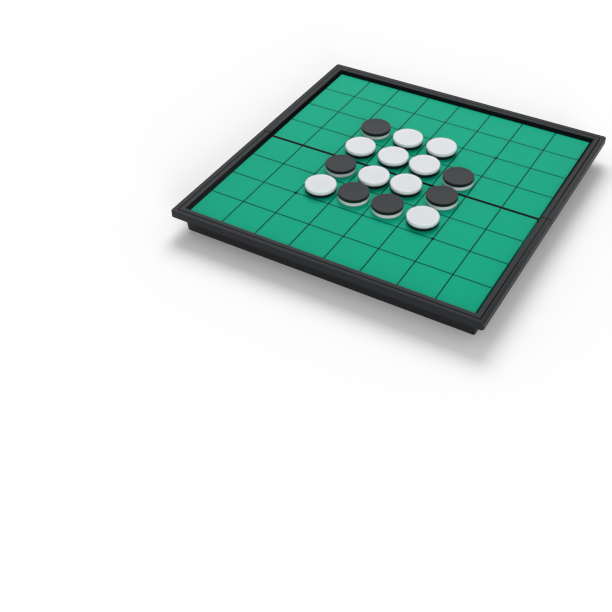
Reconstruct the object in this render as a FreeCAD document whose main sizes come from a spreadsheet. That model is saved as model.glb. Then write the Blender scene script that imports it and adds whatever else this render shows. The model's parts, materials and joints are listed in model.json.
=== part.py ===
import FreeCAD, Part
import os
import Sketcher

# Folding reversi board, open and set out for play, in millimetres.
# Origin on the floor under the middle of the seam. X runs along the seam, +Y to the rear half.
# Both tray halves are the same moulding: the front one is the rear one turned half round.

dimensions = {
    # play field, four by eight squares on each half
    "square_pitch": 28.5,
    "line_width": 0.8,
    "star_diameter": 2.6,
    "ink_thickness": 0.05,
    "sheet_thickness": 0.4,
    "steel_thickness": 0.3,
    "sheet_clearance": 0.1,
    # seam between the halves
    "seam_gap": 0.5,
    "seam_ledge": 1.0,
    "seam_land": 0.3,
    "seam_fall": 1.6,
    "seam_notch": 0.8,
    # rim round three sides of a half
    "lip_run": 2.4,
    "lip_rise": 2.8,
    "rim_width": 7.8,
    "rim_edge": 0.4,
    "groove_offset": 3.8,
    "groove_width": 1.0,
    "groove_depth": 1.0,
    "flange_depth": 5.2,
    "flange_skin": 1.8,
    "skirt_thickness": 1.8,
    "flange_corner": 2.2,
    # tray below the play surface
    "body_depth": 16.6,
    "deck_thickness": 2.0,
    "wall_thickness": 1.8,
    "wall_setback": 7.0,
    "wall_lean": 0.9,
    "wall_corner": 1.5,
    "centre_wall": 2.0,
    "rib_thickness": 1.2,
    "rib_height": 1.5,
    # hinge stations under the seam
    "hinge_spacing": 150.0,
    "knuckle_diameter": 3.8,
    "middle_knuckle": 8.0,
    "outer_knuckle": 5.0,
    "knuckle_gap": 0.25,
    "swing_clearance": 0.25,
    "pin_diameter": 1.4,
    "pin_clearance": 0.06,
    "pin_recess": 0.25,
    "pin_point": 0.2,
    "pin_way": 20.0,
    "boss_depth": 2.5,
    "boss_height": 7.0,
    "boss_margin": 1.5,
    "parting_clearance": 0.1,
    "floor_clearance": 0.1,
    # locating lugs, on which the open board stands
    "lug_width": 12.0,
    "lug_thickness": 1.6,
    "lug_height": 9.0,
    "lug_clearance": 0.3,
    "lug_tip": 0.4,
    "back_lug_left": 50.0,
    "back_lug_right": 70.0,
    "left_lug_reach": 60.0,
    "right_lug_reach": 90.0,
    # two-part discs with a magnet inside
    "disc_diameter": 24.0,
    "disc_half": 2.8,
    "disc_edge": 0.5,
    "magnet_side": 7.0,
    "magnet_thickness": 2.4,
    "magnet_clearance": 0.1,
    # how far features of one moulding run into each other
    "bite": 0.5,
}
files = "abcdefgh"
half_squares = len(files) // 2

# The round rims of the thirty disc halves are drawn with this many flats, 0.03 mm off a circle
disc_flat_count = 48

# Discs on the board, rank by rank from the rear, w for white up and b for black up
layout = {
    6: "..bww...",
    5: "..wwwb..",
    4: "..bwwb..",
    3: "..wbbw..",
}

# How far a disc was set down from the middle of its square, in squares to the right and the rear
set_down = {
    "c6": (-0.02, 0.07), "d6": (0.02, 0.02), "e6": (0.04, 0.06),
    "c5": (0.05, 0.0), "d5": (0.07, 0.01), "e5": (0.0, 0.05), "f5": (0.04, -0.03),
    "c4": (0.0, 0.05), "d4": (0.04, 0.01), "e4": (-0.04, 0.09), "f4": (0.02, 0.06),
    "c3": (0.0, -0.04), "d3": (-0.07, 0.08), "e3": (-0.06, 0.05), "f3": (-0.03, 0.01),
}

doc = FreeCAD.newDocument("reversi_board")
sheet = doc.addObject("Spreadsheet::Sheet", "size")
for row, (alias, number) in enumerate(dimensions.items(), start=1):
    sheet.set(f"A{row}", alias)
    sheet.set(f"B{row}", str(number))
    sheet.setAlias(f"B{row}", alias)
doc.recompute()

# Heights above the floor
parting_z = "(size.knuckle_diameter / 2 + size.floor_clearance)"
edge_z = f"({parting_z} + size.parting_clearance)"
play_z = f"({edge_z} + size.body_depth)"
rim_z = f"({play_z} + size.lip_rise)"
skin_z = f"({rim_z} - size.flange_skin)"
flange_z = f"({rim_z} - size.flange_depth)"
sheet_low_z = f"({play_z} - size.sheet_thickness)"
deck_top_z = f"({sheet_low_z} - size.steel_thickness)"
deck_low_z = f"({deck_top_z} - size.deck_thickness)"

# Plan: the field of squares, and distances outward from its edge
field_x = f"(size.square_pitch * {half_squares})"
near_y = "(size.seam_gap / 2)"
field_near_y = f"({near_y} + size.seam_ledge)"
field_far_y = f"({field_near_y} + {field_x})"
rim_out = "(size.lip_run + size.rim_width)"
groove_mid = "(size.lip_run + size.groove_offset)"
wall_top_out = f"({rim_out} - size.wall_setback)"
wall_edge_out = f"({wall_top_out} - size.wall_lean)"
wall_edge_in = f"({wall_edge_out} - size.wall_thickness)"
lug_out = f"({wall_edge_in} - size.lug_clearance)"

# Hinge station, measured along X from its middle
middle_end = "(size.middle_knuckle / 2)"
outer_start = f"({middle_end} + size.knuckle_gap)"
outer_end = f"({outer_start} + size.outer_knuckle)"
relief_end = f"({outer_end} + size.knuckle_gap)"
station_x = "(size.hinge_spacing / 2)"


def value(expression):
    """A size as a plain number, whatever unit the sheet gives it."""
    result = sheet.evalExpression(expression)
    return float(getattr(result, "Value", result))


def new_body(label, turned=False):
    body = doc.addObject("PartDesign::Body", label)
    body.Label = label
    if turned:
        body.Placement = FreeCAD.Placement(
            FreeCAD.Vector(0, 0, 0), FreeCAD.Rotation(FreeCAD.Vector(0, 0, 1), 180)
        )
    return body


def new_sketch(body, name, plane="XY_Plane", offset=(None, None, None)):
    """A sketch on one of the body's own planes, moved by expressions in the plane's axes."""
    sketch = body.newObject("Sketcher::SketchObject", name)
    origin_plane = next(item for item in body.Origin.OriginFeatures if item.Role == plane)
    sketch.AttachmentSupport = [(origin_plane, "")]
    sketch.MapMode = "FlatFace"
    for axis, expression in zip("xyz", offset):
        if expression:
            sketch.setExpression(f".AttachmentOffset.Base.{axis}", expression)
    return sketch


def fix_point(sketch, line, end, across, up):
    """Hold one end of a line at two distances from the sketch's origin."""
    for kind, expression in (("DistanceX", across), ("DistanceY", up)):
        index = sketch.addConstraint(
            Sketcher.Constraint(kind, -1, 1, line, end, value(expression))
        )
        sketch.setExpression(f"Constraints[{index}]", expression)


def outline(sketch, corners, closed=True):
    """Straight lines through corners, each corner a pair of expressions."""
    points = [FreeCAD.Vector(value(across), value(up), 0) for across, up in corners]
    ends = points[1:] + points[:1] if closed else points[1:]
    lines = [
        sketch.addGeometry(Part.LineSegment(start, stop), False)
        for start, stop in zip(points, ends)
    ]
    for this, following in zip(lines, lines[1:]):
        sketch.addConstraint(Sketcher.Constraint("Coincident", this, 2, following, 1))
    if closed:
        sketch.addConstraint(Sketcher.Constraint("Coincident", lines[-1], 2, lines[0], 1))
    for line, (across, up) in zip(lines, corners):
        fix_point(sketch, line, 1, across, up)
    if not closed:
        fix_point(sketch, lines[-1], 2, *corners[-1])


def rectangle(sketch, left, right, low, high):
    outline(sketch, [(left, low), (right, low), (right, high), (left, high)])


def circle(sketch, across, up, diameter):
    ring = sketch.addGeometry(
        Part.Circle(
            FreeCAD.Vector(value(across), value(up), 0), FreeCAD.Vector(0, 0, 1), value(diameter) / 2
        ),
        False,
    )
    fix_point(sketch, ring, 3, across, up)
    index = sketch.addConstraint(Sketcher.Constraint("Diameter", ring, value(diameter)))
    sketch.setExpression(f"Constraints[{index}]", diameter)


def extrude(body, kind, name, sketch, length, reverse=False):
    """A pad or a pocket. A pocket that takes nothing away points the wrong way."""
    before = body.Tip.Shape.Volume if kind == "Pocket" else 0.0
    feature = body.newObject(f"PartDesign::{kind}", name)
    feature.Profile = sketch
    feature.setExpression("Length", length)
    feature.Reversed = reverse
    doc.recompute()
    if kind == "Pocket" and feature.Shape.Volume >= before:
        raise RuntimeError(f"{body.Label}: {name} cuts nothing")


def turn(body, kind, name, sketch):
    """A full revolution or groove round the sketch's own horizontal axis."""
    feature = body.newObject(f"PartDesign::{kind}", name)
    feature.Profile = sketch
    feature.ReferenceAxis = (sketch, ["H_Axis"])
    feature.Angle = 360.0
    doc.recompute()


def edges_where(shape, wanted):
    """Names of the edges whose ends and middle all satisfy a test."""
    return [
        f"Edge{number}"
        for number, edge in enumerate(shape.Edges, start=1)
        if all(wanted(point) for point in [edge.CenterOfMass] + [v.Point for v in edge.Vertexes])
    ]


def dress(body, kind, name, edges, size_name):
    """A fillet or a chamfer on named edges of the body so far."""
    base = body.Tip
    feature = body.newObject(f"PartDesign::{kind}", name)
    feature.Base = (base, edges)
    feature.setExpression("Radius" if kind == "Fillet" else "Size", f"size.{size_name}")
    doc.recompute()


def rim_and_wall(body):
    """The section of rim, flange and leaning wall, swept round three sides with mitred corners."""
    path = new_sketch(body, "rim_path")
    outline(
        path,
        [
            (field_x, near_y),
            (field_x, field_far_y),
            (f"-{field_x}", field_far_y),
            (f"-{field_x}", near_y),
        ],
        closed=False,
    )
    section = new_sketch(body, "rim_section", "XZ_Plane", (None, None, f"-{near_y}"))
    corners = [
        ("0", deck_low_z),
        ("0", play_z),
        ("size.lip_run", rim_z),
        (f"{groove_mid} - size.groove_width / 2", rim_z),
        (groove_mid, f"{rim_z} - size.groove_depth"),
        (f"{groove_mid} + size.groove_width / 2", rim_z),
        (rim_out, rim_z),
        (rim_out, flange_z),
        (f"{rim_out} - size.skirt_thickness", flange_z),
        (f"{rim_out} - size.skirt_thickness", skin_z),
        (wall_top_out, skin_z),
        (wall_edge_out, edge_z),
        (wall_edge_in, edge_z),
        (f"{wall_top_out} - size.wall_thickness", deck_low_z),
    ]
    outline(section, [(f"{field_x} + {out}", height) for out, height in corners])
    sweep = body.newObject("PartDesign::AdditivePipe", "rim_and_wall")
    sweep.Profile = section
    sweep.Spine = (path, ["Edge1", "Edge2", "Edge3"])
    sweep.Transition = "Right corner"
    doc.recompute()


def deck_and_centre_wall(body):
    """The deck under the play field, the wall at the seam and the ledge beside the sheet."""
    deck = new_sketch(body, "deck_outline", offset=(None, None, deck_low_z))
    rectangle(
        deck,
        f"-({field_x} + size.bite)", f"{field_x} + size.bite",
        near_y, f"{field_far_y} + size.bite",
    )
    extrude(body, "Pad", "deck", deck, "size.deck_thickness")

    low_out = f"{field_x} + {wall_edge_out} - size.wall_thickness / 2"
    high_out = f"{field_x} + {wall_top_out} - size.wall_thickness / 2"
    wall = new_sketch(body, "centre_wall_face", "XZ_Plane", (None, None, f"-{near_y}"))
    outline(
        wall,
        [
            (f"-({low_out})", edge_z),
            (low_out, edge_z),
            (high_out, deck_top_z),
            (f"-({high_out})", deck_top_z),
        ],
    )
    extrude(body, "Pad", "centre_wall", wall, "size.centre_wall", reverse=True)

    ledge = new_sketch(body, "ledge_outline", offset=(None, None, deck_low_z))
    rectangle(
        ledge,
        f"-({field_x} + size.bite)", f"{field_x} + size.bite", near_y, field_near_y,
    )
    extrude(body, "Pad", "seam_ledge", ledge, f"{play_z} - {deck_low_z}")

    # the ledge keeps a narrow land beside the sheet and falls away to the seam
    fall = new_sketch(body, "seam_fall_section", "YZ_Plane", (None, None, f"-{field_x}"))
    land_y = f"{field_near_y} - size.seam_land"
    clear_y = f"{near_y} - size.bite"
    outline(
        fall,
        [
            (land_y, play_z),
            (near_y, f"{play_z} - size.seam_fall"),
            (clear_y, f"{play_z} - size.seam_fall"),
            (clear_y, f"{play_z} + size.bite"),
            (land_y, f"{play_z} + size.bite"),
        ],
    )
    extrude(body, "Pocket", "seam_fall", fall, f"2 * {field_x}", reverse=True)


def ribs(body):
    """Low ribs under the deck: one behind each second line of squares, and one across."""
    rib_z = f"{deck_low_z} - size.rib_height"
    rib_length = "size.rib_height + size.bite"
    half_rib = "size.rib_thickness / 2"
    lengthwise = new_sketch(body, "lengthwise_ribs", offset=(None, None, rib_z))
    for step in (-2, 0, 2):
        middle = f"size.square_pitch * {step}"
        rectangle(
            lengthwise,
            f"{middle} - {half_rib}", f"{middle} + {half_rib}",
            f"{near_y} + size.bite", f"{field_far_y} + {wall_edge_out}",
        )
    extrude(body, "Pad", "lengthwise_rib", lengthwise, rib_length)
    across = new_sketch(body, "cross_rib", offset=(None, None, rib_z))
    middle = f"{field_near_y} + {field_x} / 2"
    reach = f"({field_x} + {wall_edge_out})"
    rectangle(across, f"-{reach}", reach, f"{middle} - {half_rib}", f"{middle} + {half_rib}")
    extrude(body, "Pad", "cross_ribs", across, rib_length)


def hinge_side(body):
    """Bosses, knuckles and pin bores: two outer knuckles at the right, a middle one at the left."""
    radius = "size.knuckle_diameter / 2"
    boss_end = f"{relief_end} + size.boss_margin"
    bosses = new_sketch(body, "boss_outlines", offset=(None, None, edge_z))
    for station in (station_x, f"-{station_x}"):
        rectangle(
            bosses,
            f"{station} - ({boss_end})", f"{station} + {boss_end}",
            near_y, f"{near_y} + size.centre_wall + size.boss_depth",
        )
    extrude(body, "Pad", "hinge_bosses", bosses, "size.boss_height")

    on_axis = (None, parting_z, None)
    left = f"-{station_x}"
    relief = new_sketch(body, "relief_section", "XZ_Plane", on_axis)
    relief_radius = f"{radius} + size.swing_clearance"
    rectangle(
        relief, f"{station_x} - {outer_start}", f"{station_x} + {outer_start}", "0", relief_radius
    )
    rectangle(relief, f"{left} + {middle_end}", f"{left} + {relief_end}", "0", relief_radius)
    rectangle(relief, f"{left} - {relief_end}", f"{left} - {middle_end}", "0", relief_radius)
    turn(body, "Groove", "knuckle_relief", relief)

    knuckles = new_sketch(body, "knuckle_section", "XZ_Plane", on_axis)
    rectangle(knuckles, f"{station_x} + {outer_start}", f"{station_x} + {outer_end}", "0", radius)
    rectangle(knuckles, f"{station_x} - {outer_end}", f"{station_x} - {outer_start}", "0", radius)
    rectangle(knuckles, f"{left} - {middle_end}", f"{left} + {middle_end}", "0", radius)
    turn(body, "Revolution", "knuckles", knuckles)

    # the pin is pressed into the outer knuckles and runs in the middle one; beside each
    # station the wall's edge is grooved, because the pin is pushed in from there
    bores = new_sketch(body, "bore_section", "XZ_Plane", on_axis)
    rectangle(
        bores,
        f"{station_x} - {relief_end}", f"{station_x} + {outer_end} + size.pin_way",
        "0", "size.pin_diameter / 2",
    )
    rectangle(
        bores,
        f"{left} - {outer_end} - size.pin_way", f"{left} + {relief_end}",
        "0", "size.pin_diameter / 2 + size.pin_clearance",
    )
    turn(body, "Groove", "pin_bores", bores)


def lug(body, name, plane, side, position):
    """A tongue inside an outer wall: side is the wall's sign, position its place along the wall."""
    along_back = plane == "YZ_Plane"
    field_edge = field_far_y if along_back else field_x
    tip_in = f"({lug_out} - size.lug_thickness)"
    wall_mid = f"({wall_edge_out} - size.wall_thickness / 2)"
    top = f"({edge_z} + size.lug_height)"
    corners = [
        (tip_in, "0"),
        (f"{lug_out} - size.lug_tip", "0"),
        (lug_out, "1.5 * size.lug_tip"),
        (lug_out, edge_z),
        (wall_mid, edge_z),
        (wall_mid, top),
        (tip_in, top),
    ]
    # a sketch on the XZ plane looks along +Y, so its own depth axis points to the front
    start = f"{position} - size.lug_width / 2" if along_back else f"-({position} + size.lug_width / 2)"
    section = new_sketch(body, f"{name}_section", plane, (None, None, start))
    outline(section, [(f"{side}({field_edge} + {out})", height) for out, height in corners])
    extrude(body, "Pad", name, section, "size.lug_width")


def outer_edges(body):
    """Rounded corners, the broken top edge of the rim and the notch where two rims meet."""
    rim_x = value(f"{field_x} + {rim_out}")
    rim_y = value(f"{field_far_y} + {rim_out}")
    top = value(rim_z)
    low = value(flange_z)
    near = value(near_y)
    edge = value(edge_z)
    close = 0.01

    def at_flange_corner(point):
        return (
            abs(abs(point.x) - rim_x) < close
            and abs(point.y - rim_y) < close
            and low - close < point.z
        )

    def at_wall_corner(point):
        rise = (point.z - edge) / (value(skin_z) - edge)
        out = value(wall_edge_out) + value("size.wall_lean") * rise
        return (
            abs(abs(point.x) - value(field_x) - out) < close
            and abs(point.y - value(field_far_y) - out) < close
        )

    def at_seam_corner(point):
        return abs(abs(point.x) - rim_x) < close and abs(point.y - near) < close

    def on_top_border(point):
        return abs(point.z - top) < close and (
            abs(abs(point.x) - rim_x) < close or abs(point.y - rim_y) < close
        )

    shape = body.Tip.Shape
    dress(body, "Fillet", "flange_corners", edges_where(shape, at_flange_corner), "flange_corner")
    shape = body.Tip.Shape
    dress(body, "Fillet", "wall_corners", edges_where(shape, at_wall_corner), "wall_corner")
    shape = body.Tip.Shape
    dress(body, "Chamfer", "seam_notches", edges_where(shape, at_seam_corner), "seam_notch")
    shape = body.Tip.Shape
    dress(body, "Chamfer", "rim_top_edge", edges_where(shape, on_top_border), "rim_edge")


def tray_half(label, turned):
    body = new_body(label, turned)
    rim_and_wall(body)
    deck_and_centre_wall(body)
    ribs(body)
    hinge_side(body)
    lug(body, "back_lug_a", "YZ_Plane", "", "-size.back_lug_left")
    lug(body, "back_lug_b", "YZ_Plane", "", "size.back_lug_right")
    lug(body, "left_lug", "XZ_Plane", "-", "size.left_lug_reach")
    lug(body, "right_lug", "XZ_Plane", "", "size.right_lug_reach")
    outer_edges(body)
    return body


def field_plate(label, turned, low_z, thickness):
    """A flat plate that fills the recess of a half, with a small clearance all round."""
    body = new_body(label, turned)
    plate = new_sketch(body, f"{label}_outline", offset=(None, None, low_z))
    rectangle(
        plate,
        f"-({field_x} - size.sheet_clearance)", f"{field_x} - size.sheet_clearance",
        f"{field_near_y} + size.sheet_clearance", f"{field_far_y} - size.sheet_clearance",
    )
    extrude(body, "Pad", f"{label}_plate", plate, thickness)
    return body


def grid_lines(label, turned):
    """Printed lines between the squares and two star dots, one layer of ink on the play sheet."""
    body = new_body(label, turned)
    half_line = "size.line_width / 2"
    left = f"-({field_x} - size.sheet_clearance)"
    right = f"{field_x} - size.sheet_clearance"
    front = f"{field_near_y} + size.sheet_clearance"
    back = f"{field_far_y} - size.sheet_clearance"

    def ink_sketch(name):
        return new_sketch(body, f"{label}_{name}", offset=(None, None, play_z))

    def print_ink(name, sketch):
        extrude(body, "Pad", f"{label}_{name}s", sketch, "size.ink_thickness")

    def row_line(sketch, row):
        middle = f"{field_near_y} + size.square_pitch * {row}"
        rectangle(sketch, left, right, f"{middle} - {half_line}", f"{middle} + {half_line}")

    middle_row = half_squares // 2
    first = ink_sketch("middle_row_line")
    row_line(first, middle_row)
    print_ink("middle_row_line", first)

    columns = ink_sketch("column_line")
    for column in range(1 - half_squares, half_squares):
        middle = f"size.square_pitch * {column}"
        rectangle(columns, f"{middle} - {half_line}", f"{middle} + {half_line}", front, back)
    print_ink("column_line", columns)

    rows = ink_sketch("row_line")
    for row in range(1, half_squares):
        if row != middle_row:
            row_line(rows, row)
    print_ink("row_line", rows)

    stars = ink_sketch("star_dot")
    for side in ("-", ""):
        circle(
            stars,
            f"{side}(size.square_pitch * {middle_row})",
            f"{field_near_y} + size.square_pitch * {middle_row}",
            "size.star_diameter",
        )
    print_ink("star_dot", stars)
    return body


def hinge_pin(label, turned):
    """A steel pin, its ends broken, a little shorter than the knuckles that it joins."""
    body = new_body(label, turned)
    radius = "size.pin_diameter / 2"
    reach = f"({outer_end} - size.pin_recess)"
    section = new_sketch(body, f"{label}_section", "XZ_Plane", (None, parting_z, None))
    outline(
        section,
        [
            (f"{station_x} - {reach}", "0"),
            (f"{station_x} + {reach}", "0"),
            (f"{station_x} + {reach}", f"{radius} - size.pin_point"),
            (f"{station_x} + {reach} - size.pin_point", radius),
            (f"{station_x} - {reach} + size.pin_point", radius),
            (f"{station_x} - {reach}", f"{radius} - size.pin_point"),
        ],
    )
    turn(body, "Revolution", f"{label}_turning", section)
    return body


def disc_half(label, centre_x, centre_y, face_down):
    """Half a disc, chamfered at its outer face, with half of the magnet's pocket at the joint."""
    body = new_body(label)
    blank = body.newObject("PartDesign::AdditivePrism", f"{label}_blank")
    blank.Polygon = disc_flat_count
    blank.setExpression("Circumradius", "size.disc_diameter / 2")
    blank.setExpression("Height", "size.disc_half")
    doc.recompute()
    top = value("size.disc_half")
    outer_face = [
        f"Face{number}"
        for number, face in enumerate(blank.Shape.Faces, start=1)
        if all(abs(vertex.Z - top) < 0.001 for vertex in face.Vertexes)
    ]
    dress(body, "Chamfer", f"{label}_edge", outer_face, "disc_edge")
    pocket = new_sketch(body, f"{label}_pocket_outline")
    reach = "(size.magnet_side / 2 + size.magnet_clearance)"
    rectangle(pocket, f"-{reach}", reach, f"-{reach}", reach)
    extrude(body, "Pocket", f"{label}_pocket", pocket, "size.magnet_thickness / 2", reverse=True)
    if face_down:
        body.Placement = FreeCAD.Placement(
            FreeCAD.Vector(0, 0, 0), FreeCAD.Rotation(FreeCAD.Vector(1, 0, 0), 180)
        )
    body.setExpression("Placement.Base.x", centre_x)
    body.setExpression("Placement.Base.y", centre_y)
    body.setExpression("Placement.Base.z", f"{play_z} + size.disc_half")
    return body


def disc_magnet(label, centre_x, centre_y):
    magnet = doc.addObject("Part::Box", label)
    magnet.Label = label
    magnet.setExpression("Length", "size.magnet_side")
    magnet.setExpression("Width", "size.magnet_side")
    magnet.setExpression("Height", "size.magnet_thickness")
    magnet.setExpression("Placement.Base.x", f"{centre_x} - size.magnet_side / 2")
    magnet.setExpression("Placement.Base.y", f"{centre_y} - size.magnet_side / 2")
    magnet.setExpression(
        "Placement.Base.z", f"{play_z} + size.disc_half - size.magnet_thickness / 2"
    )
    return magnet


def disc(square, column, rank, white_up):
    """A disc on a square: column counts from the left, rank from the front."""
    right, rear = set_down[square]
    centre_x = f"size.square_pitch * {column + 0.5 - half_squares + right:.2f}"
    seam_half = field_near_y if rank > half_squares else f"-{field_near_y}"
    centre_y = f"{seam_half} + size.square_pitch * {rank - half_squares - 0.5 + rear:.2f}"
    return [
        disc_half(f"disc_{square}_white_half", centre_x, centre_y, not white_up),
        disc_half(f"disc_{square}_black_half", centre_x, centre_y, white_up),
        disc_magnet(f"disc_{square}_magnet", centre_x, centre_y),
    ]


pieces = []
for half, turned in (("rear", False), ("front", True)):
    pieces.append(tray_half(f"{half}_case", turned))
    pieces.append(field_plate(f"{half}_steel_sheet", turned, deck_top_z, "size.steel_thickness"))
    pieces.append(
        field_plate(f"{half}_print_sheet", turned, sheet_low_z, "size.sheet_thickness")
    )
    pieces.append(grid_lines(f"{half}_grid_lines", turned))
pieces.append(hinge_pin("hinge_pin_right", False))
pieces.append(hinge_pin("hinge_pin_left", True))
for rank, line in layout.items():
    for column, mark in enumerate(line):
        if mark in "wb":
            pieces += disc(f"{files[column]}{rank}", column, rank, mark == "w")

doc.recompute()
for item in doc.Objects:
    if any(flag in item.State for flag in ("Invalid", "Error")):
        raise RuntimeError(f"{item.Name} failed: {item.State}")
for piece in pieces:
    if piece.Shape.isNull() or not piece.Shape.isValid():
        raise RuntimeError(f"{piece.Label} has no valid shape")

os.makedirs("parts", exist_ok=True)
for piece in pieces:
    piece.Shape.exportStep(f"parts/{piece.Label}.step")
print(len(pieces), "pieces written")
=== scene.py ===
# Folding reversi board, open and set out for play: finish, light and camera
import json
import math

import bpy
from mathutils import Matrix, Vector

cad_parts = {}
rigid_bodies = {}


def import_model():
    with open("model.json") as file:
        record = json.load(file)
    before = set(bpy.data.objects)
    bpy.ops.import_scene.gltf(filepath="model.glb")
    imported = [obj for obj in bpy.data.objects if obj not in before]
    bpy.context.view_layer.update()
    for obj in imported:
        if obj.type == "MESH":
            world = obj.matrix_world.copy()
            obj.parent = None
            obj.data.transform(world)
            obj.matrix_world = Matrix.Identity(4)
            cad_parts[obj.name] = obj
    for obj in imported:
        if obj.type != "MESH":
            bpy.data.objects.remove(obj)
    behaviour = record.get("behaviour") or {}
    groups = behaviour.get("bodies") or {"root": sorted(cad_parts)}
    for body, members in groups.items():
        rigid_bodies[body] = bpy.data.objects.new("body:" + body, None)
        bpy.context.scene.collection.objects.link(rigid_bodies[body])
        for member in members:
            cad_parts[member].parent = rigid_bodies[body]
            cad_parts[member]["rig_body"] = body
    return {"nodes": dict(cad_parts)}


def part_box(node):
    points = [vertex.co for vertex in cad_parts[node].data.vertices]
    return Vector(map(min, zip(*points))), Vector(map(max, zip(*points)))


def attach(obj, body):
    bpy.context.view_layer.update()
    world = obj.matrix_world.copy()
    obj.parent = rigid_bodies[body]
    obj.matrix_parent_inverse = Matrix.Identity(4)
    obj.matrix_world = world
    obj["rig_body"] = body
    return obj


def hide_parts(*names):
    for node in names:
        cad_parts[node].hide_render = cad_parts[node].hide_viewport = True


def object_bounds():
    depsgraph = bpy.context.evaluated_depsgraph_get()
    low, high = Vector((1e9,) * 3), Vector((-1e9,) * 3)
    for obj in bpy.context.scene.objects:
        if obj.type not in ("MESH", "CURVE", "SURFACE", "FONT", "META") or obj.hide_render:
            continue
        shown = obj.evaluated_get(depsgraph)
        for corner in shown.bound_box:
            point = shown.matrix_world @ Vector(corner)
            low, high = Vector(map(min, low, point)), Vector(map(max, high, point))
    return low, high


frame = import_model()
cadLow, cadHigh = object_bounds()
mm = 0.001
print("frame loaded:", len(frame["nodes"]), "nodes")


# Colours are picked on screen, 0 to 255, and turned into the linear values that shaders take
def screenColour(red, green, blue):
    def linear(level):
        level = level / 255
        return level / 12.92 if level <= 0.04045 else ((level + 0.055) / 1.055) ** 2.4

    return (linear(red), linear(green), linear(blue), 1.0)


# Selecting and shaping

def selectOnly(piece):
    bpy.ops.object.select_all(action="DESELECT")
    piece.select_set(True)
    bpy.context.view_layer.objects.active = piece


def applyModifier(piece, kind, **settings):
    selectOnly(piece)
    modifier = piece.modifiers.new(kind.title(), kind)
    for name, setting in settings.items():
        setattr(modifier, name, setting)
    bpy.ops.object.modifier_apply(modifier=modifier.name)


# Selects faces or edges of the active piece by a test, and leaves it in edit mode
def pick(piece, mode, wanted):
    bpy.ops.object.mode_set(mode="EDIT")
    bpy.ops.mesh.select_mode(type=mode)
    bpy.ops.mesh.select_all(action="DESELECT")
    bpy.ops.object.mode_set(mode="OBJECT")
    for item in piece.data.polygons if mode == "FACE" else piece.data.edges:
        item.select = wanted(item)
    bpy.ops.object.mode_set(mode="EDIT")


# Smooth over small angles, with large flats kept flat beside their broken edges
def shadeByAngle(piece, degrees):
    selectOnly(piece)
    bpy.ops.object.shade_smooth_by_angle(angle=math.radians(degrees))
    applyModifier(piece, "WEIGHTED_NORMAL", mode="FACE_AREA", weight=50, keep_sharp=True)


# Node trees

def addNode(tree, kind, place, inputs=None, **settings):
    node = tree.nodes.new(kind)
    node.location = place
    for name, setting in settings.items():
        setattr(node, name, setting)
    for name, setting in (inputs or {}).items():
        node.inputs[name].default_value = setting
    return node


def newGroup(name, inputs, outputs):
    tree = bpy.data.node_groups.new(name, "ShaderNodeTree")
    for label, kind, start in inputs:
        socket = tree.interface.new_socket(label, in_out="INPUT", socket_type=kind)
        socket.default_value = start
    for label, kind in outputs:
        tree.interface.new_socket(label, in_out="OUTPUT", socket_type=kind)
    given = addNode(tree, "NodeGroupInput", (-900, 0))
    made = addNode(tree, "NodeGroupOutput", (600, 0))
    return tree, given, made


# Fine spark-eroded grain of a moulding, with slow changes of tone and gloss over it
def makeMouldGrain():
    tree, given, made = newGroup(
        "mouldGrain",
        [
            ("Colour", "NodeSocketColor", (0.5, 0.5, 0.5, 1.0)),
            ("Tone Spread", "NodeSocketFloat", 0.06),
            ("Roughness", "NodeSocketFloat", 0.4),
            ("Gloss Spread", "NodeSocketFloat", 0.08),
            ("Grain Scale", "NodeSocketFloat", 3000.0),
            ("Cloud Scale", "NodeSocketFloat", 40.0),
        ],
        [("Colour", "NodeSocketColor"), ("Roughness", "NodeSocketFloat"), ("Height", "NodeSocketFloat")],
    )
    link = tree.links.new
    place = addNode(tree, "ShaderNodeTexCoord", (-900, 400))
    grain = addNode(tree, "ShaderNodeTexNoise", (-600, 400), {"Detail": 3.0, "Roughness": 0.6})
    clouds = addNode(tree, "ShaderNodeTexNoise", (-600, 100), {"Detail": 4.0, "Roughness": 0.55})
    for texture, scale in ((grain, "Grain Scale"), (clouds, "Cloud Scale")):
        link(place.outputs["Object"], texture.inputs["Vector"])
        link(given.outputs[scale], texture.inputs["Scale"])
    centred = addNode(tree, "ShaderNodeMath", (-350, 100), {1: 0.5}, operation="SUBTRACT")
    link(clouds.outputs["Fac"], centred.inputs[0])
    tone = addNode(tree, "ShaderNodeMath", (-100, 200), {2: 1.0}, operation="MULTIPLY_ADD")
    link(centred.outputs[0], tone.inputs[0])
    link(given.outputs["Tone Spread"], tone.inputs[1])
    tinted = addNode(tree, "ShaderNodeVectorMath", (150, 200), operation="SCALE")
    link(given.outputs["Colour"], tinted.inputs[0])
    link(tone.outputs[0], tinted.inputs["Scale"])
    gloss = addNode(tree, "ShaderNodeMath", (-100, -50), operation="MULTIPLY_ADD")
    link(centred.outputs[0], gloss.inputs[0])
    link(given.outputs["Gloss Spread"], gloss.inputs[1])
    link(given.outputs["Roughness"], gloss.inputs[2])
    link(tinted.outputs[0], made.inputs["Colour"])
    link(gloss.outputs[0], made.inputs["Roughness"])
    link(grain.outputs["Fac"], made.inputs["Height"])
    return tree


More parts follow.
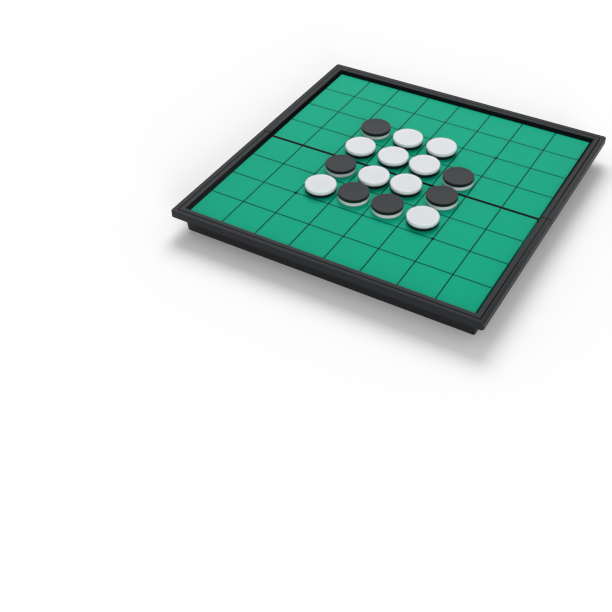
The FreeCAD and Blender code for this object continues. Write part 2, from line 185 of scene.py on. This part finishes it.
# Mask of the edges, which the mould's polish and handling leave smoother, and which also carries a
# painted highlight
def makeEdgeMask():
    tree, given, made = newGroup(
        "edgeMask",
        [("Radius", "NodeSocketFloat", 0.4 * mm), ("Strength", "NodeSocketFloat", 3.0)],
        [("Mask", "NodeSocketFloat")],
    )
    link = tree.links.new
    rounded = addNode(tree, "ShaderNodeBevel", (-600, 100), samples=4)
    link(given.outputs["Radius"], rounded.inputs["Radius"])
    surface = addNode(tree, "ShaderNodeNewGeometry", (-600, -150))
    alike = addNode(tree, "ShaderNodeVectorMath", (-350, 0), operation="DOT_PRODUCT")
    link(rounded.outputs["Normal"], alike.inputs[0])
    link(surface.outputs["True Normal"], alike.inputs[1])
    apart = addNode(tree, "ShaderNodeMath", (-100, 0), {0: 1.0}, operation="SUBTRACT")
    link(alike.outputs["Value"], apart.inputs[1])
    mask = addNode(tree, "ShaderNodeMath", (150, 0), operation="MULTIPLY", use_clamp=True)
    link(apart.outputs[0], mask.inputs[0])
    link(given.outputs["Strength"], mask.inputs[1])
    link(mask.outputs[0], made.inputs["Mask"])
    return tree


# Concentric cutter marks that the round mould leaves on a disc's face, read from its face map
def makeTurningMarks():
    tree, given, made = newGroup(
        "turningMarks",
        [("Rings", "NodeSocketFloat", 30.0)],
        [("Height", "NodeSocketFloat")],
    )
    link = tree.links.new
    place = addNode(tree, "ShaderNodeUVMap", (-900, 300), uv_map="faceMap")
    centred = addNode(tree, "ShaderNodeMapping", (-700, 300), {"Location": (-0.5, -0.5, 0.0)})
    link(place.outputs["UV"], centred.inputs["Vector"])
    distance = addNode(tree, "ShaderNodeVectorMath", (-450, 300), operation="LENGTH")
    link(centred.outputs["Vector"], distance.inputs[0])
    turns = addNode(tree, "ShaderNodeMath", (-200, 200), operation="MULTIPLY")
    link(distance.outputs["Value"], turns.inputs[0])
    link(given.outputs["Rings"], turns.inputs[1])
    wave = addNode(tree, "ShaderNodeMath", (50, 200), {1: 0.5}, operation="PINGPONG")
    link(turns.outputs[0], wave.inputs[0])
    link(wave.outputs[0], made.inputs["Height"])
    return tree


mouldGrain = makeMouldGrain()
edgeMask = makeEdgeMask()
turningMarks = makeTurningMarks()


# A material with one Principled shader, whose even values are set on its own sockets
def newMaterial(name, shader):
    material = bpy.data.materials.new(name)
    material.use_nodes = True
    surface = material.node_tree.nodes["Principled BSDF"]
    surface.location = (500, 200)
    for socket, setting in shader.items():
        surface.inputs[socket].default_value = setting
    return material, surface


def addGroup(tree, group, place, inputs):
    return addNode(tree, "ShaderNodeGroup", place, inputs, node_tree=group)


def addBump(tree, target, height, place, depth):
    bump = addNode(tree, "ShaderNodeBump", place, {"Distance": depth})
    tree.links.new(height, bump.inputs["Height"])
    tree.links.new(bump.outputs["Normal"], target.inputs["Normal"])
    return bump


# Plastic whose tone, gloss and fine relief change a little all over
def grainedPlastic(name, look):
    material, surface = newMaterial(name, {"IOR": look["ior"], "Specular IOR Level": look["specular"]})
    tree = material.node_tree
    grain = addGroup(
        tree, mouldGrain, (-400, 200),
        {
            "Colour": look["colour"], "Tone Spread": look["toneSpread"],
            "Roughness": look["roughness"], "Gloss Spread": look["glossSpread"],
            "Grain Scale": look["grainScale"], "Cloud Scale": look["cloudScale"],
        },
    )
    tree.links.new(grain.outputs["Colour"], surface.inputs["Base Color"])
    tree.links.new(grain.outputs["Roughness"], surface.inputs["Roughness"])
    bump = addBump(tree, surface, grain.outputs["Height"], (200, -200), look["grainDepth"])
    return material, surface, grain, bump


# Printed plastic film: no mould edge, only a faint peel over an even colour
def printedFilm(name, look):
    return grainedPlastic(name, look)[0]


# Moulded plastic: grain, a smoother edge, and a painted highlight that makes the edge lighter in colour
def mouldedPlastic(name, look):
    material, surface, grain, bump = grainedPlastic(name, look)
    tree = material.node_tree
    link = tree.links.new
    edge = addGroup(
        tree, edgeMask, (-400, -200),
        {"Radius": look["edgeRadius"], "Strength": look["edgeStrength"]},
    )
    # Painted highlight: along the edges the base colour is mixed toward a lighter tone, as if they
    # caught the light
    paintedEdgeHighlight = addNode(tree, "ShaderNodeMix", (0, 300), data_type="RGBA")
    paintedEdgeHighlight.inputs["B"].default_value = look["edgeHighlightColour"]
    link(edge.outputs["Mask"], paintedEdgeHighlight.inputs["Factor"])
    link(grain.outputs["Colour"], paintedEdgeHighlight.inputs["A"])
    link(paintedEdgeHighlight.outputs["Result"], surface.inputs["Base Color"])
    smoother = addNode(
        tree, "ShaderNodeMath", (0, 0), {1: -look["edgePolish"]}, operation="MULTIPLY_ADD"
    )
    link(edge.outputs["Mask"], smoother.inputs[0])
    link(grain.outputs["Roughness"], smoother.inputs[2])
    link(smoother.outputs[0], surface.inputs["Roughness"])
    return material, surface, bump


# Moulded plastic with turned faces, and with light that scatters inside it if it is white
def discPlastic(name, look):
    material, surface, bump = mouldedPlastic(name, look)
    surface.inputs["Subsurface Weight"].default_value = look["scatter"]
    surface.inputs["Subsurface Radius"].default_value = look["scatterSpread"]
    surface.inputs["Subsurface Scale"].default_value = look["scatterDepth"]
    tree = material.node_tree
    marks = addGroup(tree, turningMarks, (-400, -450), {"Rings": look["rings"]})
    addBump(tree, bump, marks.outputs["Height"], (0, -450), look["ringDepth"])
    return material


metalRoughness = (0.22, 0.4)


# Metal with fine marks along one way, as rolled sheet and drawn wire have
def drawnMetal(name, look):
    material, surface = newMaterial(name, {"Metallic": 1.0})
    tree = material.node_tree
    link = tree.links.new
    place = addNode(tree, "ShaderNodeTexCoord", (-900, 0))
    along = addNode(tree, "ShaderNodeMapping", (-700, 0), {"Scale": look["stretch"]})
    link(place.outputs["Object"], along.inputs["Vector"])
    marks = addNode(tree, "ShaderNodeTexNoise", (-450, 0), {"Scale": look["markScale"], "Detail": 4.0})
    link(along.outputs["Vector"], marks.inputs["Vector"])
    tone = addNode(tree, "ShaderNodeValToRGB", (-200, 200))
    tone.color_ramp.elements[0].color = look["dark"]
    tone.color_ramp.elements[1].color = look["light"]
    link(marks.outputs["Fac"], tone.inputs["Fac"])
    link(tone.outputs["Color"], surface.inputs["Base Color"])
    bright, dull = metalRoughness
    gloss = addNode(tree, "ShaderNodeMapRange", (-200, -50), {"To Min": bright, "To Max": dull})
    link(marks.outputs["Fac"], gloss.inputs["Value"])
    link(gloss.outputs["Result"], surface.inputs["Roughness"])
    addBump(tree, surface, marks.outputs["Fac"], (200, -200), look["markDepth"])
    return material


# Each look's edge colour is a painted highlight, lighter than its base colour
trayLook = {
    "colour": screenColour(19, 20, 22),
    "edgeHighlightColour": screenColour(34, 35, 38),
    "toneSpread": 0.35, "roughness": 0.42, "glossSpread": 0.12, "specular": 0.42,
    "grainScale": 2600.0, "grainDepth": 0.02 * mm, "cloudScale": 45.0,
    "edgeRadius": 0.5 * mm, "edgeStrength": 3.0, "edgePolish": 0.08, "ior": 1.5,
}
# Painted shade and painted reflection: the lip is coloured darker than the tray and tinted green like
# the sheet beside it
lipShadeLook = {
    **trayLook, "colour": screenColour(4, 12, 12), "edgeHighlightColour": screenColour(6, 15, 15),
    "roughness": 0.2, "glossSpread": 0.04, "specular": 0.06, "grainDepth": 0.004 * mm,
}
filmLook = {
    "colour": screenColour(8, 167, 131),
    "toneSpread": 0.07, "roughness": 0.26, "glossSpread": 0.06, "specular": 0.08,
    "grainScale": 900.0, "grainDepth": 0.006 * mm, "cloudScale": 14.0, "ior": 1.5,
}
inkLook = {
    "colour": screenColour(0, 10, 8),
    "toneSpread": 0.3, "roughness": 0.3, "glossSpread": 0.1, "specular": 0.05,
    "grainScale": 2500.0, "grainDepth": 0.004 * mm, "cloudScale": 120.0, "ior": 1.5,
}
discLook = {
    "toneSpread": 0.02, "glossSpread": 0.08, "specular": 0.5, "ior": 1.5,
    "grainScale": 3200.0, "grainDepth": 0.008 * mm, "cloudScale": 160.0,
    "edgeRadius": 0.4 * mm, "edgeStrength": 3.0, "edgePolish": 0.08,
    "rings": 34.0, "ringDepth": 0.0015 * mm,
    "scatter": 0.0, "scatterSpread": (1.0, 1.0, 1.0), "scatterDepth": 2.0 * mm,
}
whiteDiscLook = {
    **discLook, "colour": screenColour(228, 230, 232), "edgeHighlightColour": screenColour(244, 245, 246),
    "roughness": 0.34, "scatter": 0.9,
}
blackDiscLook = {
    **discLook, "colour": screenColour(18, 19, 22), "edgeHighlightColour": screenColour(34, 35, 38),
    "roughness": 0.36, "toneSpread": 0.2,
}
tinplateLook = {
    "stretch": (1.0, 14.0, 1.0), "markScale": 160.0, "markDepth": 0.01 * mm,
    "dark": screenColour(150, 152, 156), "light": screenColour(196, 198, 202),
}
pinLook = {
    "stretch": (0.1, 1.0, 1.0), "markScale": 2500.0, "markDepth": 0.01 * mm,
    "dark": screenColour(140, 141, 145), "light": screenColour(200, 201, 205),
}
magnetLook = {
    "stretch": (1.0, 1.0, 1.0), "markScale": 1400.0, "markDepth": 0.02 * mm,
    "dark": screenColour(70, 70, 74), "light": screenColour(104, 104, 108),
}


finishes = {
    "trayPlastic": mouldedPlastic("trayPlastic", trayLook)[0],
    "polishedLipPaintedShade": mouldedPlastic("polishedLipPaintedShade", lipShadeLook)[0],
    "playFilm": printedFilm("playFilm", filmLook),
    "gridInk": printedFilm("gridInk", inkLook),
    "whiteDisc": discPlastic("whiteDisc", whiteDiscLook),
    "blackDisc": discPlastic("blackDisc", blackDiscLook),
    "tinplate": drawnMetal("tinplate", tinplateLook),
    "pinSteel": drawnMetal("pinSteel", pinLook),
    "magnetNickel": drawnMetal("magnetNickel", magnetLook),
}


def dress(piece, finish):
    piece.data.materials.clear()
    piece.data.materials.append(finishes[finish])


finishByEnding = {
    "_case": "trayPlastic", "_steel_sheet": "tinplate", "_print_sheet": "playFilm",
    "_grid_lines": "gridInk", "_white_half": "whiteDisc", "_black_half": "blackDisc",
    "_magnet": "magnetNickel", "hinge_pin_right": "pinSteel", "hinge_pin_left": "pinSteel",
}
for nodeName, node in frame["nodes"].items():
    for ending, finish in finishByEnding.items():
        if nodeName.endswith(ending):
            dress(node, finish)
print("materials made:", len(finishes))


# The two tray mouldings, with their sharp edges broken as a moulded part's are
trayEdges = {
    "weldGap": 0.003 * mm,
    "flatWithin": 0.4,  # degrees between faces that count as one flat
    "sharpOver": 28.0,  # degrees over which an edge is broken
    "breakWidth": 0.22 * mm, "breakSteps": 2,
    "shortest": 1.0 * mm,
    "rimZone": 6.5 * mm,  # how far under the top of the rim edges are broken
    "seamZone": 1.6 * mm,  # edges that lie within it of the seam are left to openSeam
    "seamFace": 0.25 * mm,  # how far the end of each half stands from the middle
    "seamBreak": 0.3 * mm,
    "smoothWithin": 40.0,
    "lipReach": 2.5 * mm,  # from the sheet's edge up the sloping lip round it
    "lipSlope": (0.4, 0.85),  # least and most upright part of the lip's normal
}


# A small V across the rim where the two halves meet
def openSeam(piece, half):
    points = piece.data.vertices
    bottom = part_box(f"{half}_print_sheet")[1].z - trayEdges["weldGap"]

    def acrossRim(edge):
        ends = [points[i].co for i in edge.vertices]
        return all(
            abs(abs(p.y) - trayEdges["seamFace"]) < trayEdges["weldGap"] and p.z > bottom for p in ends
        )

    pick(piece, "EDGE", acrossRim)
    bpy.ops.mesh.bevel(offset=trayEdges["seamBreak"], segments=1)
    bpy.ops.object.mode_set(mode="OBJECT")


# Breaks the outward edges of the rim, and returns how many
def breakRimEdges(piece, top):
    mesh = piece.data
    facesByEdge = {}
    for face in mesh.polygons:
        for key in face.edge_keys:
            facesByEdge.setdefault(key, []).append(face)
    weights = mesh.attributes.new("bevel_weight_edge", "FLOAT", "EDGE")
    broken = 0
    for edge in mesh.edges:
        faces = facesByEdge.get(edge.key, [])
        start, end = (mesh.vertices[i].co for i in edge.vertices)
        if len(faces) != 2 or (start - end).length < trayEdges["shortest"]:
            continue
        if min(start.z, end.z) < top - trayEdges["rimZone"]:
            continue
        if max(abs(start.y), abs(end.y)) < trayEdges["seamZone"]:
            continue
        first, second = faces
        bent = math.degrees(first.normal.angle(second.normal))
        outward = (second.center - first.center).dot(first.normal) < 0
        if bent > trayEdges["sharpOver"] and outward:
            weights.data[edge.index].value = 1.0
            broken += 1
    applyModifier(
        piece, "BEVEL", width=trayEdges["breakWidth"], segments=trayEdges["breakSteps"],
        limit_method="WEIGHT", use_clamp_overlap=False, miter_outer="MITER_ARC",
    )
    return broken


# The mould is polished where it forms the lip round the sheets, and grained everywhere else. The lip's
# faces also get a darker, green-tinged colour: painted shade, and a painted reflection of the green
# sheet.
def polishAndShadeLip(piece, half):
    low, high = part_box(f"{half}_print_sheet")
    across = high.x + trayEdges["lipReach"]
    along = max(high.y, -low.y) + trayEdges["lipReach"]
    least, most = trayEdges["lipSlope"]
    piece.data.materials.append(finishes["polishedLipPaintedShade"])
    pick(
        piece, "FACE",
        lambda face: least < face.normal.z < most and face.center.z > low.z
        and abs(face.center.x) < across and abs(face.center.y) < along,
    )
    piece.active_material_index = len(piece.data.materials) - 1
    bpy.ops.object.material_slot_assign()
    bpy.ops.object.mode_set(mode="OBJECT")


def modelTray(half):
    node = frame["nodes"][f"{half}_case"]
    piece = bpy.data.objects.new(f"{half}Tray", node.data.copy())
    bpy.context.scene.collection.objects.link(piece)
    selectOnly(piece)
    bpy.ops.object.mode_set(mode="EDIT")
    bpy.ops.mesh.select_all(action="SELECT")
    bpy.ops.mesh.remove_doubles(threshold=trayEdges["weldGap"])
    bpy.ops.mesh.dissolve_limited(angle_limit=math.radians(trayEdges["flatWithin"]))
    bpy.ops.object.mode_set(mode="OBJECT")
    openSeam(piece, half)
    broken = breakRimEdges(piece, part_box(f"{half}_case")[1].z)
    shadeByAngle(piece, trayEdges["smoothWithin"])
    dress(piece, "trayPlastic")
    polishAndShadeLip(piece, half)
    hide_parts(f"{half}_case")
    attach(piece, f"{half}_half")
    print(f"{half} tray: {len(piece.data.polygons)} faces, {broken} edges broken")


for half in ("rear", "front"):
    modelTray(half)


# One half of a disc, modelled once with its joint face down and copied to every place
discShape = {
    "around": 96,
    "edgeRound": 0.5 * mm, "edgeSteps": 4,
    "jointBreak": 0.2 * mm,
    "landWidth": 1.5 * mm,  # flat border on the outer face
    "stepRun": 0.25 * mm, "stepDrop": 0.16 * mm,
    "gateRadius": 1.3 * mm, "gateRun": 0.25 * mm, "gateDrop": 0.14 * mm,
    "magnetClearance": 0.1 * mm,
    "levelWithin": 0.01 * mm,
    "smoothWithin": 35.0,
}


def modelDiscHalf():
    low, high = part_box("disc_d5_black_half")
    radius = (high.x - low.x) / 2
    height = high.z - low.z
    bpy.ops.object.select_all(action="DESELECT")
    bpy.ops.mesh.primitive_cylinder_add(
        vertices=discShape["around"], radius=radius, depth=height, location=(0, 0, height / 2)
    )
    half = bpy.context.object
    half.name = "discHalfPattern"
    bpy.ops.object.transform_apply(location=True, rotation=True, scale=True)

    def border(level):
        points = half.data.vertices
        near = discShape["levelWithin"]
        return lambda edge: all(abs(points[i].co.z - level) < near for i in edge.vertices)

    pick(half, "EDGE", border(height))
    bpy.ops.mesh.bevel(offset=discShape["edgeRound"], segments=discShape["edgeSteps"], profile=0.5)
    bpy.ops.object.mode_set(mode="OBJECT")
    pick(half, "EDGE", border(0.0))
    bpy.ops.mesh.bevel(offset=discShape["jointBreak"], segments=1)
    bpy.ops.object.mode_set(mode="OBJECT")

    outerFace = height - discShape["levelWithin"]
    pick(half, "FACE", lambda face: face.center.z > outerFace)
    bpy.ops.mesh.inset(thickness=discShape["landWidth"])
    bpy.ops.mesh.inset(thickness=discShape["stepRun"], depth=-discShape["stepDrop"])
    gateEdge = radius - discShape["edgeRound"] - discShape["landWidth"] - discShape["stepRun"]
    bpy.ops.mesh.inset(thickness=gateEdge - discShape["gateRadius"])
    bpy.ops.mesh.inset(thickness=discShape["gateRun"], depth=-discShape["gateDrop"])
    bpy.ops.object.mode_set(mode="OBJECT")

    magnetLow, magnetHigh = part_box("disc_d5_magnet")
    side = magnetHigh.x - magnetLow.x + 2 * discShape["magnetClearance"]
    bpy.ops.object.select_all(action="DESELECT")
    bpy.ops.mesh.primitive_cube_add(size=1.0)
    pocket = bpy.context.object
    pocket.scale = (side, side, magnetHigh.z - magnetLow.z)
    bpy.ops.object.transform_apply(location=True, rotation=True, scale=True)
    applyModifier(half, "BOOLEAN", operation="DIFFERENCE", object=pocket, solver="EXACT")
    bpy.data.objects.remove(pocket)

    faceMap = half.data.uv_layers.new(name="faceMap")
    for loop in half.data.loops:
        point = half.data.vertices[loop.vertex_index].co
        faceMap.data[loop.index].uv = (point.x / radius / 2 + 0.5, point.y / radius / 2 + 0.5)
    shadeByAngle(half, discShape["smoothWithin"])
    return half


def placeDiscs():
    pattern = modelDiscHalf()
    placed = 0
    for nodeName, node in frame["nodes"].items():
        colour = next((c for c in ("white", "black") if nodeName.endswith(f"_{c}_half")), None)
        if colour is None:
            continue
        low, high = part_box(nodeName)
        magnetLow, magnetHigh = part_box(nodeName.replace(f"{colour}_half", "magnet"))
        joint = (magnetLow.z + magnetHigh.z) / 2
        faceUp = (low.z + high.z) / 2 > joint
        square = nodeName.split("_")[1]
        piece = bpy.data.objects.new(f"{colour}Half_{square}", pattern.data.copy())
        bpy.context.scene.collection.objects.link(piece)
        turn = Matrix.Identity(4) if faceUp else Matrix.Rotation(math.pi, 4, "X")
        middle = Vector(((low.x + high.x) / 2, (low.y + high.y) / 2, joint))
        piece.data.transform(Matrix.Translation(middle) @ turn)
        dress(piece, f"{colour}Disc")
        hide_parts(nodeName)
        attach(piece, node["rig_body"])
        placed += 1
    bpy.data.objects.remove(pattern)
    print("disc halves placed:", placed)


placeDiscs()


# Studio: soft lights behind and in front, even light all round, and a glow for the gloss
studio = {
    "evenStrength": 0.42, "evenColour": (0.95, 0.975, 1.0, 1.0),
    "glowFrom": (-0.30, 0.55, 0.78),
    "glowStart": 0.68, "glowFull": 0.94,  # cosines of the angle from its middle
    "glowStrength": 1.1, "roomStrength": 0.48,
    "backLight": {"place": (-0.36, 0.66, 0.94), "size": 0.8, "power": 9.0},
    "frontLight": {"place": (0.68, -0.81, 0.30), "size": 0.5, "power": 5.0},
    "aim": (0.0, 0.0, 0.0),
    "floorSize": 6.0, "floorColour": screenColour(225, 226, 227), "floorRoughness": 0.9,
}


# White as the camera sees it. On the object an even light, but gloss shows a room with a glow.
def makeWorld():
    world = bpy.data.worlds.new("studioWorld")
    bpy.context.scene.world = world
    world.use_nodes = True
    tree = world.node_tree
    tree.nodes.clear()
    link = tree.links.new
    place = addNode(tree, "ShaderNodeTexCoord", (-1000, 0))
    towards = addNode(tree, "ShaderNodeVectorMath", (-800, 0), operation="DOT_PRODUCT")
    towards.inputs[1].default_value = Vector(studio["glowFrom"]).normalized()
    link(place.outputs["Generated"], towards.inputs[0])
    glow = addNode(
        tree, "ShaderNodeMapRange", (-600, 0),
        {
            "From Min": studio["glowStart"], "From Max": studio["glowFull"],
            "To Min": studio["roomStrength"], "To Max": studio["glowStrength"],
        },
        interpolation_type="SMOOTHSTEP",
    )
    link(towards.outputs["Value"], glow.inputs["Value"])
    ray = addNode(tree, "ShaderNodeLightPath", (-600, 300))
    level = addNode(tree, "ShaderNodeMapRange", (-400, 50), {"To Min": studio["evenStrength"]})
    link(ray.outputs["Is Glossy Ray"], level.inputs["Value"])
    link(glow.outputs["Result"], level.inputs["To Max"])
    light = addNode(tree, "ShaderNodeBackground", (-200, 0))
    light.inputs["Color"].default_value = studio["evenColour"]
    link(level.outputs["Result"], light.inputs["Strength"])
    backdrop = addNode(tree, "ShaderNodeBackground", (-200, -150), {"Strength": 1.0})
    backdrop.inputs["Color"].default_value = (1.0, 1.0, 1.0, 1.0)
    seen = addNode(tree, "ShaderNodeMath", (-400, 300), operation="MAXIMUM")
    link(ray.outputs["Is Camera Ray"], seen.inputs[0])
    link(ray.outputs["Is Transmission Ray"], seen.inputs[1])
    mix = addNode(tree, "ShaderNodeMixShader", (50, 100))
    link(seen.outputs[0], mix.inputs["Fac"])
    link(light.outputs[0], mix.inputs[1])
    link(backdrop.outputs[0], mix.inputs[2])
    output = addNode(tree, "ShaderNodeOutputWorld", (250, 100))
    link(mix.outputs[0], output.inputs["Surface"])


# Lamps light the board but show neither in its gloss nor to the camera
def addSoftLight(name, look):
    place = Vector(look["place"])
    bpy.ops.object.select_all(action="DESELECT")
    bpy.ops.object.light_add(type="AREA", location=place)
    lamp = bpy.context.object
    lamp.name = name
    lamp.data.shape = "DISK"
    lamp.data.size = look["size"]
    lamp.data.energy = look["power"]
    lamp.visible_glossy = False
    lamp.visible_camera = False
    lamp.rotation_euler = (Vector(studio["aim"]) - place).to_track_quat("-Z", "Y").to_euler()


def makeFloor():
    bpy.ops.object.select_all(action="DESELECT")
    bpy.ops.mesh.primitive_plane_add(size=studio["floorSize"], location=(0, 0, cadLow.z))
    floor = bpy.context.object
    floor.name = "studioFloor"
    paper = {
        "Base Color": studio["floorColour"], "Roughness": studio["floorRoughness"],
        "Specular IOR Level": 0.0,
    }
    floor.data.materials.append(newMaterial("floorPaper", paper)[0])
    floor.is_shadow_catcher = True


makeWorld()
addSoftLight("backLight", studio["backLight"])
addSoftLight("frontLight", studio["frontLight"])
makeFloor()
print("studio made")


# Camera at the photograph's angle. The board stands high and to the right in the picture, whose
# middle isn't quite the middle of the lens.
cameraView = {
    "azimuth": 30.62, "elevation": 42.01, "roll": -0.87,
    "aim": (18.8 * mm, -148.6 * mm, 18.7 * mm),
    "distance": 642.4 * mm,
    "lens": 56.72, "sensor": 36.0,
    "shift": (-0.0274, -0.0173),
}


def makeCamera():
    around, up, roll = (math.radians(cameraView[k]) for k in ("azimuth", "elevation", "roll"))
    back = Vector(
        (math.sin(around) * math.cos(up), -math.cos(around) * math.cos(up), math.sin(up))
    )
    level = Vector((math.cos(around), math.sin(around), 0.0))
    upright = back.cross(level)
    right = math.cos(roll) * level + math.sin(roll) * upright
    top = math.cos(roll) * upright - math.sin(roll) * level
    data = bpy.data.cameras.new("photoCamera")
    data.lens = cameraView["lens"]
    data.sensor_width = cameraView["sensor"]
    data.shift_x, data.shift_y = cameraView["shift"]
    camera = bpy.data.objects.new("photoCamera", data)
    bpy.context.scene.collection.objects.link(camera)
    turned = Matrix((right, top, back)).transposed().to_4x4()
    place = Vector(cameraView["aim"]) + cameraView["distance"] * back
    camera.matrix_world = Matrix.Translation(place) @ turned
    bpy.context.scene.camera = camera


makeCamera()
bpy.context.scene.view_settings.view_transform = "Standard"
print("camera placed")
